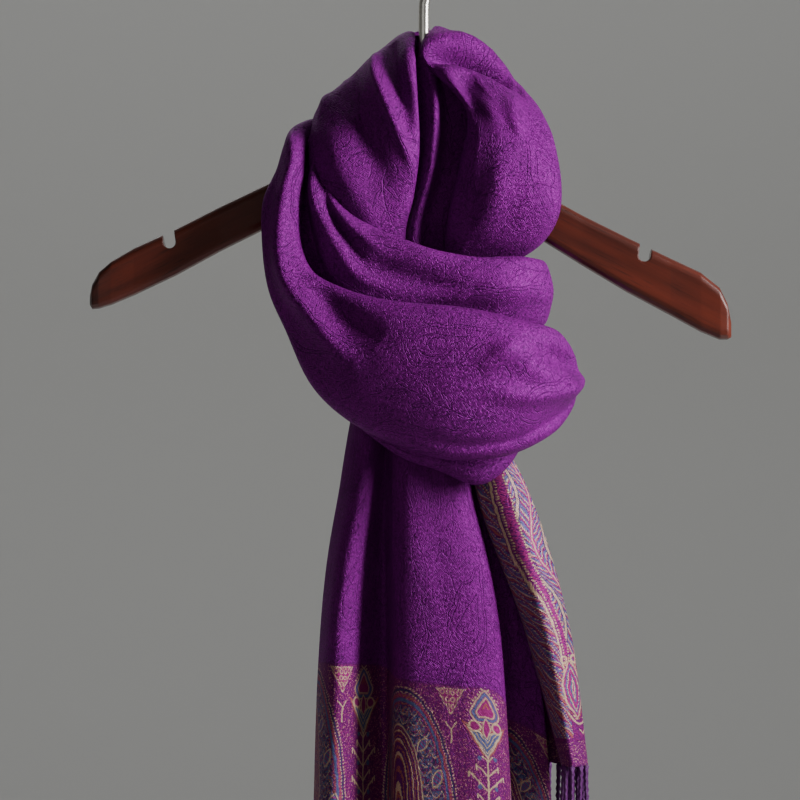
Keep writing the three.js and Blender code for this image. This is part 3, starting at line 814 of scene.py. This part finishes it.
def side_border(finish, u, v, speck):
    """The border on the short tail: a curving stem with feathered leaves, above a nested medallion."""
    colour = finish.mix(((speck - 0.42) * 3).clamp(), BORDER_GROUND, MAGENTA)

    def paint(mask, shade):
        nonlocal colour
        colour = finish.mix(mask, colour, shade)

    fold = ((150 - v) / 70).clamp()
    across = u - 14.8 - fold * fold * (3 - 2 * fold) * 9.5
    q = across.wrap(-20, 44)
    dash = v.wrap(0, 2) > 0.8
    above = v > 60
    # feathered leaves on the left of the stem and on the right
    left = (v > 19) * (q < -1)
    curl = (q * 0.95 + v * 0.28).sin() * 1.1
    leaf = (v + q * 1.5 + (v * 0.45).sin() * 0.8 + curl).wrap(0, 7.6)
    paint(left * (leaf > 3.9) * (speck > 0.38), BLUE)
    paint(left * (leaf - 5.6).line(0.7) * (speck > 0.5), MAGENTA)
    paint(left * (leaf - 3.6).line(0.4), CREAM)
    paint(left * (leaf - 7.3).line(0.35) * dash, CREAM)
    paint(left * (leaf - 1.8).line(0.5), RUST)
    right = above * (q > 6.5)
    bend = (q - 6.5).max(0)
    vein = (bend - 9 - (v * 0.075).sin() * 5).wrap(-9.5, 9.5)
    feather = (v - abs(vein) * 1.35 + curl * 0.6).wrap(0, 5.2)
    paint(right * (feather > 2.7) * (speck > 0.4), BLUE)
    paint(right * (feather - 2.5).line(0.4), CREAM)
    paint(right * (feather - 1.2).line(0.35) * dash, RUST)
    paint(right * (abs(vein) < 1.5), MAGENTA)
    paint(right * vein.line(0.4), CREAM)
    paint(right * (abs(vein) - 8.2).line(0.5), DARK_BLUE)
    paint(right * (abs(vein) - 9).line(0.35), CREAM)
    paint(above * (q - 3.9).line(1.7) * (speck > 0.46), MAGENTA)
    paint(above * (q - 2.1).line(0.4) * dash, CREAM)
    paint(above * (q - 6).line(0.4) * dash, CREAM)
    paint(above * q.line(0.62), CREAM)
    # diamonds on the upper right
    gem_v = (v - 176).wrap(-13, 13)
    gem = abs(q - 26) * 0.8 + abs(gem_v) * 0.8 - 4
    paint(above * gem.inside(), BLUE)
    paint(above * gem.line(0.45), CREAM)
    paint(above * (gem + 2.2).line(0.4), RUST)
    # medallion, fan and fork
    x = (u - 30).wrap(-21, 21)
    along = (v - 51) / 19
    oval = (abs(x) - 8.5 * (1 - along * along)) * 0.85
    nearby = abs(along) < 1.1
    paint(nearby * oval.inside(), MAGENTA)
    paint(nearby * oval.inside() * ((oval * 1.9).sin() > 0.1) * (speck > 0.4), BLUE)
    paint(nearby * oval.inside() * ((oval * 1.9 + 1).sin() > 0.8) * (speck < 0.58), CREAM)
    paint(nearby * oval.line(0.5), CREAM)
    paint(nearby * (oval - 2).line(0.5) * dash, RUST)
    pearl = reach(abs(x) - 4, v - 71) - 2.3
    paint(pearl.line(0.6), CREAM)
    fan = reach(x - 3, v - 38) - 10
    paint(fan.line(0.5) * (v < 34), CREAM)
    paint((fan + 2.4).line(0.5) * (v < 34) * dash, CREAM)
    fork = v - 21 - abs(x - 4) * 0.8
    paint(fork.line(0.5) * (abs(x - 4) < 4.5), CREAM)
    paint((v < 17) * (speck > 0.62) * 0.5, CREAM)
    return colour


def cloth_finish(name, border=None):
    """Satin jacquard cloth, with the front tail's or the short tail's border below its edge."""
    finish = Finish(
        name,
        Metallic=0.22,
        Specular_IOR_Level=0.5,
        Specular_Tint=(0.85, 0.22, 0.95, 1),
        Sheen_Weight=0.06,
        Sheen_Roughness=0.3,
        Sheen_Tint=(0.75, 0.15, 0.8, 1),
    )
    place = finish.node("ShaderNodeUVMap", {"uv_map": "cloth"}).outputs[0]
    u, v, _ = finish.split(place)
    u, v = u * 1000, v * 1000
    # short strokes of raised yarn, slanting one way or the other; they raise the bump, and the colour
    # paints them lighter as a painted highlight
    one_way = finish.noise(finish.vector((u + v) * 1.4, (v - u) * 0.24, 0.0), 1.0, 0.0)
    other_way = finish.noise(finish.vector((u + v) * 0.24, (v - u) * 1.4, 5.0), 1.0, 0.0)
    choice = finish.noise(finish.vector(u, v, 8.0), 0.5, 0.0)
    turned = ((choice - 0.46) * 12).clamp()
    grain = one_way * turned + other_way * (1 - turned)
    patch = finish.noise(finish.vector(u, v, 0.0), 0.035, 2.0)
    lines = field_relief(finish, u, v)
    # colour: the grain's raised strokes painted lighter as a painted highlight and its dips darker as
    # painted shade, over large random patches and the darker lines of the pattern
    tone = (grain - 0.5) * 3.0 + (patch - 0.5) * 0.7 + 0.6 - lines * 0.42
    colour = finish.mix(tone.clamp(), DEEP_PURPLE, PURPLE)
    relief = grain * 1.5 - lines * 0.7
    if border is not None:
        speck = finish.noise(finish.vector(u, v, 3.0), 1.15, 1.0)
        ragged = v + (speck - 0.5) * 5 - BORDER_HEIGHT
        in_border = ragged.inside(0.3)
        wobble_u = finish.noise(finish.vector(u, v, 17.0), 0.16, 2.0) - 0.5
        wobble_v = finish.noise(finish.vector(u, v, 23.0), 0.16, 2.0) - 0.5
        thread_u = (((u + wobble_u * 2.4) / THREAD).floor() + 0.5) * THREAD
        thread_v = (((v + wobble_v * 2.4) / THREAD).floor() + 0.5) * THREAD
        if border == "side":
            drawn = side_border(finish, thread_u, thread_v, speck)
        else:
            below = BORDER_HEIGHT - thread_v
            # a second and smaller row of the same motifs, then a plain hem with a zigzag
            lower = below > FIRST_ROW_HEIGHT
            scale = lower * 0.3 + 1
            y = (below - lower * FIRST_ROW_HEIGHT) * scale
            drawn = front_border(finish, thread_u * scale, y, speck)
            drawn = finish.mix((below - FIRST_ROW_HEIGHT).line(0.8), drawn, CREAM)
            drawn = finish.mix((below - 234).line(0.6), drawn, CREAM)
            zigzag = abs(thread_u.wrap(-4, 4)) - (below - 238)
            drawn = finish.mix(below > 235, drawn, BORDER_GROUND)
            drawn = finish.mix(zigzag.line(0.6) * (below > 235) * (below < 243), drawn, CREAM)
        # the drawn border darkens with the ripple of the weave, and the grain's raised strokes lighten it
        # as a painted highlight, with painted shade between them
        weave = ((u * 5.07).sin() * (v * 5.07).sin()) * 0.16 + 0.84
        shade = finish.node(
            "ShaderNodeVectorMath",
            {"operation": "SCALE"},
            {"Vector": drawn, "Scale": weave * (0.72 + grain * 0.56)},
        )
        colour = finish.mix(in_border, colour, shade.outputs[0])
        relief = relief * (1 - in_border * 0.4)
    finish.plug("Base Color", colour)
    finish.plug("Roughness", 0.54 + (grain - 0.5) * 0.2)
    finish.plug("Normal", finish.bump(relief, 1.0, 0.00042))
    return finish.material


def yarn_finish(name):
    """Twisted yarn."""
    finish = Finish(name, Sheen_Weight=0.08, Sheen_Roughness=0.4, Sheen_Tint=(0.62, 0.2, 0.8, 1))
    place = finish.node("ShaderNodeUVMap", {"uv_map": "cloth"}).outputs[0]
    u, v, _ = finish.split(place)
    ply = (u * 200).sin() * 0.5 + 0.5
    fibres = (u * 1500 + v * 2600).sin() * 0.5 + 0.5
    finish.plug("Base Color", finish.mix(ply * 0.6 + fibres * 0.4, DEEP_PURPLE, YARN_PURPLE))
    finish.plug("Roughness", 0.62 - ply * 0.12)
    finish.plug("Normal", finish.bump(fibres, 0.5, 0.0003))
    return finish.material


def wood_finish(name):
    """Reddish brown wood under a gloss lacquer, its grain along the arms."""
    finish = Finish(name, Coat_Weight=0.6, Coat_Roughness=0.08, Specular_IOR_Level=0.4)
    place = finish.node("ShaderNodeTexCoord").outputs["Object"]
    x, y, z = finish.split(place)
    fall = abs(x) * 0.5
    grain_at = finish.vector(x * 7, y * 60, (z + fall) * 85)
    sway = finish.noise(finish.vector(x * 5, y * 12, (z + fall) * 14), 1.0, 2.0)
    streaks = finish.noise(grain_at, 1.4, 5.0, 0.62)
    pores = finish.noise(finish.vector(x * 40, y * 500, (z + fall) * 700), 1.0, 2.0)
    tone = (streaks * 0.9 + sway * 0.8 - 0.42).clamp()
    colour = finish.mix(tone, (0.024, 0.0045, 0.0028, 1), (0.2, 0.03, 0.014, 1))
    colour = finish.mix((pores - 0.58).clamp() * 3, colour, (0.012, 0.003, 0.002, 1))
    finish.plug("Base Color", colour)
    finish.plug("Roughness", 0.34 + pores * 0.14)
    round_edges = finish.node("ShaderNodeBevel", {"samples": 8}, {"Radius": 0.0022}).outputs[0]
    finish.plug("Normal", finish.bump(streaks, 0.12, 0.0004, round_edges))
    return finish.material


def metal_finish(name):
    """Polished metal with a faint haze."""
    finish = Finish(name, Metallic=1.0)
    place = finish.node("ShaderNodeTexCoord").outputs["Object"]
    x, y, z = finish.split(place)
    brushed = finish.noise(finish.vector(x * 900, y * 900, z * 60), 1.0, 2.0)
    haze = finish.noise(place, 38.0, 2.0)
    finish.plug("Base Color", finish.mix(haze, (0.78, 0.75, 0.68, 1), (0.95, 0.93, 0.87, 1)))
    finish.plug("Roughness", 0.2 + haze * 0.12 + brushed * 0.06)
    round_edges = finish.node("ShaderNodeBevel", {"samples": 8}, {"Radius": 0.0018}).outputs[0]
    finish.plug("Normal", finish.bump(brushed, 0.05, 0.0001, round_edges))
    return finish.material


field_cloth = cloth_finish("field_cloth")
front_cloth = cloth_finish("front_border_cloth", "front")
side_cloth = cloth_finish("side_border_cloth", "side")
yarn = yarn_finish("fringe_yarn")
lacquer = wood_finish("lacquered_wood")
polish = metal_finish("polished_metal")

# The scarf's stretches

stretches = [
    ("loop", NECK_LOOP, 330, 100, 1.0, 11, "neck_loop"),
    ("pleat", INNER_PLEAT, 90, 60, 0.6, 23, "inner_pleat"),
    ("wrap_upper", UPPER_WRAP, 300, 84, 0.9, 37, "upper_wrap"),
    ("wrap_lower", LOWER_WRAP, 340, 110, 1.0, 41, "lower_wrap"),
    ("wrap_under", UNDER_TURN, 110, 44, 0.5, 53, "under_turn"),
]
cloth = {}
for name, band, along, across, wrinkle, seed, node in stretches:
    surface = band_surface(band, along, across, wrinkle, seed)
    cloth[name] = cloth_object("scarf_" + name, surface, field_cloth)
    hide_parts(node)

front = tail_surface(FRONT_TAIL, 180, 240, 1.0, 61)
side = tail_surface(SIDE_TAIL, 120, 240, 0.8, 71)
cloth["tail_front"] = cloth_object("scarf_tail_front", front, front_cloth)
cloth["tail_side"] = cloth_object("scarf_tail_side", side, side_cloth)
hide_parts("front_tail")
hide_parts("side_tail")
fringe_front = fringe_object("scarf_fringe_front", front, yarn, 5)
fringe_side = fringe_object("scarf_fringe_side", side, yarn, 9)
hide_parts("front_fringe")
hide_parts("side_fringe")
for thing in list(cloth.values()) + [fringe_front, fringe_side]:
    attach(thing, "root")

for node, finish in (("hanger_shoulders", lacquer), ("hanger_hook", polish)):
    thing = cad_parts[node]
    thing.data.materials.clear()
    thing.data.materials.append(finish)

# Studio


def plain(name, colour, roughness=0.9):
    return Finish(name, Base_Color=colour, Roughness=roughness).material


def sweep():
    """A pale round floor that curves up into a pale wall all round."""
    profile = [(0.5, FLOOR_HEIGHT), (FLOOR_RADIUS, FLOOR_HEIGHT)]
    for angle in np.linspace(0, np.pi / 2, 13)[1:]:
        rise = COVE_RADIUS * (1 - np.cos(angle))
        profile.append((FLOOR_RADIUS + COVE_RADIUS * np.sin(angle), FLOOR_HEIGHT + rise))
    profile.append((FLOOR_RADIUS + COVE_RADIUS, WALL_TOP))
    turns = np.linspace(0, 2 * np.pi, 73)[:-1]
    vertices = [(r * np.cos(a), r * np.sin(a), z) for r, z in profile for a in turns]
    count = len(turns)
    faces = [tuple(range(count))]
    for i in range(0, (len(profile) - 1) * count, count):
        for j in range(count):
            after = (j + 1) % count
            faces.append((i + after, i + j, i + count + j, i + count + after))
    mesh = bpy.data.meshes.new("floor")
    mesh.from_pydata(vertices, [], faces)
    mesh.polygons.foreach_set("use_smooth", [True] * len(faces))
    mesh.materials.append(plain("pale_floor", (0.6, 0.6, 0.585, 1)))
    floor = bpy.data.objects.new("floor", mesh)
    bpy.context.scene.collection.objects.link(floor)
    return floor


def softbox(name, place, target, size, power):
    light = bpy.data.lights.new(name, "AREA")
    light.shape = "RECTANGLE"
    light.size, light.size_y = size
    light.energy = power
    thing = bpy.data.objects.new(name, light)
    thing.location = place
    direction = Vector(target) - Vector(place)
    thing.rotation_euler = direction.to_track_quat("-Z", "Y").to_euler()
    bpy.context.scene.collection.objects.link(thing)


sweep()
softbox("key", (0.84, -0.34, 0.0), (0, 0, -0.4), (0.22, 0.75), 15.5)
softbox("edge", (1.27, -0.49, 0.28), (0.1, 0, -0.3), (0.12, 0.35), 6)
softbox("fill", (-0.7, -2.1, 0.1), (0, 0, -0.5), (1.2, 1.2), 2.2)
softbox("rim", (-0.5, 1.5, 0.9), (0, 0, -0.4), (0.8, 0.8), 3.5)
softbox("back", (0, 1.4, 2.4), (0, 4.6, -0.3), (2.4, 1.2), 46)

world = bpy.data.worlds.new("studio")
world.use_nodes = True
world.node_tree.nodes["Background"].inputs[0].default_value = (0.8, 0.82, 0.85, 1)
world.node_tree.nodes["Background"].inputs[1].default_value = 0.02
bpy.context.scene.world = world

camera_data = bpy.data.cameras.new("camera")
camera_data.sensor_width = SENSOR_WIDTH
camera_data.lens = SENSOR_WIDTH * CAMERA_DISTANCE / VIEW_WIDTH
camera_data.clip_end = 30
camera = bpy.data.objects.new("camera", camera_data)
camera.location = (VIEW_CENTRE_X, -CAMERA_DISTANCE, VIEW_CENTRE_Z)
camera.rotation_euler = (np.pi / 2, 0, 0)
bpy.context.scene.collection.objects.link(camera)
bpy.context.scene.camera = camera
